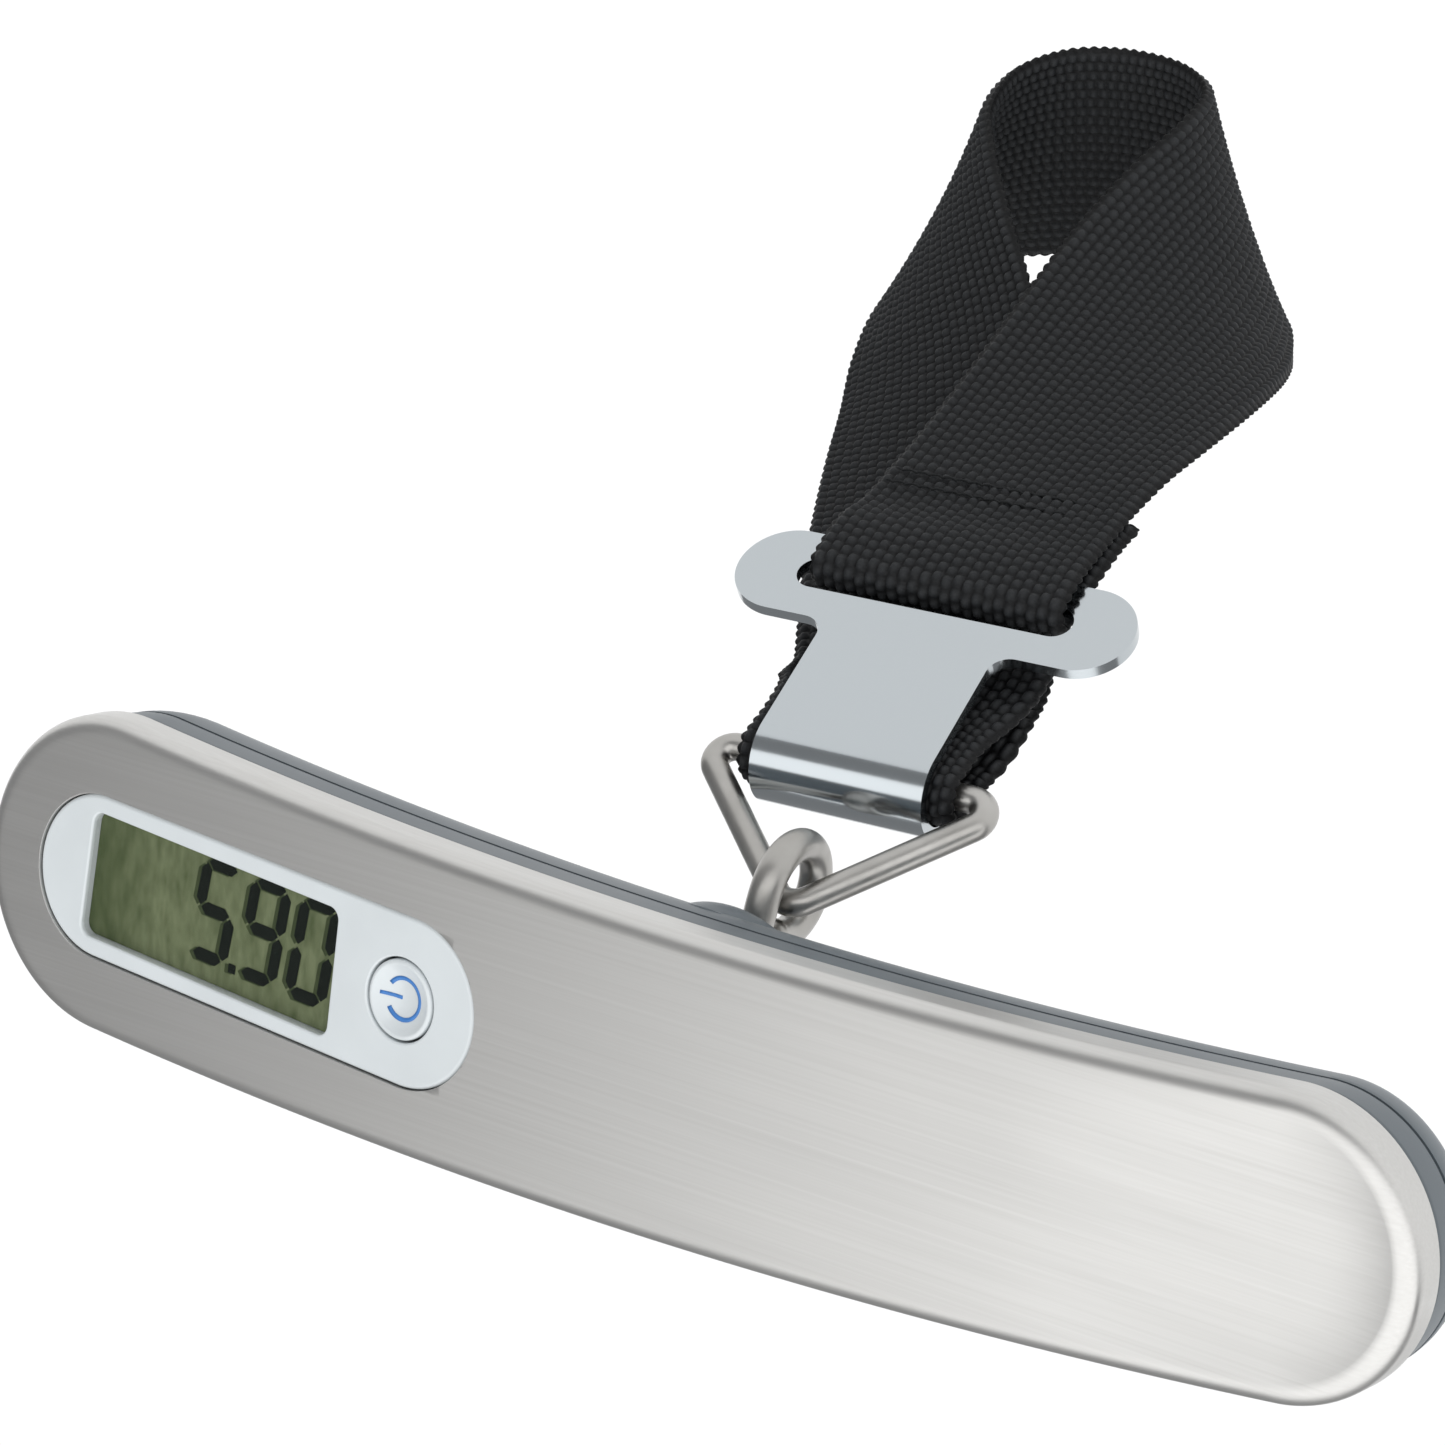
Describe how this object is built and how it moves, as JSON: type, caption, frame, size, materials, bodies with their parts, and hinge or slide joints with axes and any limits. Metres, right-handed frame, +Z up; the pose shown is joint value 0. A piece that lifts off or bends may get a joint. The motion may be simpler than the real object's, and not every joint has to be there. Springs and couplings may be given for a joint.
{
  "type": "digital luggage scale",
  "caption": "Curved hand-held digital luggage scale with steel front, display, power button, swivelling eye hook, triangular ring, T clasp and webbing strap.",
  "frame": {"origin": "middle of the hand grip, where the hook's axis crosses the grip's thickness; the hand closes round this point", "axes": "+Z up with the strap hanging straight down, +X across along the grip towards the display end, -Y the side the front plate faces"},
  "size_m": [0.1496, 0.0485, 0.1408],
  "materials": {
    "steel_plate": "brushed stainless steel",
    "steel_wire": "drawn stainless wire",
    "casing_plastic": "satin blue-grey ABS",
    "white_plastic": "white satin ABS",
    "clear_window": "clear acrylic",
    "lcd": "green reflective LCD glass",
    "board_green": "green solder mask on fibreglass",
    "black_plastic": "black epoxy and plastic",
    "connector_rubber": "striped conductive elastomer",
    "zinc_steel": "zinc-plated steel",
    "cell_alloy": "machined aluminium alloy",
    "gauge_film": "amber polyimide film",
    "contact_brass": "sprung brass",
    "clasp_chrome": "bright chrome-plated steel",
    "webbing": "black nylon webbing"
  },
  "bodies": {
    "grip": {"front_plate": "steel_plate", "front_casing": "casing_plastic", "rear_casing": "casing_plastic", "casing_screw_1": "zinc_steel", "casing_screw_2": "zinc_steel", "casing_screw_3": "zinc_steel", "casing_screw_4": "zinc_steel", "display_bezel": "white_plastic", "display_window": "clear_window", "lcd_glass": "lcd", "lcd_connector_1": "connector_rubber", "lcd_connector_2": "connector_rubber", "circuit_board": "board_green", "controller_blob": "black_plastic", "button_switch": "black_plastic", "coin_cell": "zinc_steel", "battery_contact_negative": "contact_brass", "battery_contact_positive": "contact_brass", "load_cell": "cell_alloy", "strain_gauge_1": "gauge_film", "strain_gauge_2": "gauge_film", "cell_screw_1": "zinc_steel", "cell_screw_2": "zinc_steel"},
    "button": {"power_button": "white_plastic"},
    "door": {"battery_door": "casing_plastic"},
    "hook": {"eye_hook": "steel_wire", "hook_nut": "zinc_steel", "hook_washer": "zinc_steel"},
    "ring": {"triangle_ring": "steel_wire"},
    "sling": {"clasp_plate": "clasp_chrome", "strap": "webbing"}
  },
  "joints": [
    {"name": "button_press", "type": "slide", "parent": "grip", "child": "button", "axis": [0, 0.6691, -0.7431], "range_m": [0, 0.0006], "stiffness_N_per_m": 1500},
    {"name": "battery_door_out", "type": "slide", "parent": "grip", "child": "door", "axis": [0, 0.6691, -0.7431], "range_m": [0, 0.012]},
    {"name": "hook_swivel", "type": "hinge", "parent": "grip", "child": "hook", "pos_m": [0, 0, 0], "axis": [0, 0, 1], "continuous": true},
    {"name": "ring_swing", "type": "hinge", "parent": "hook", "child": "ring", "pos_m": [0.00009, 0.00069, -0.023], "axis": [-0.1211, -0.9925, -0.0138], "range_deg": [-45, 45]},
    {"name": "clasp_swing", "type": "hinge", "parent": "ring", "child": "sling", "pos_m": [0.0011, 0.00069, -0.03194], "axis": [-0.9862, 0.1219, -0.1124], "range_deg": [-70, 70]}
  ]
}
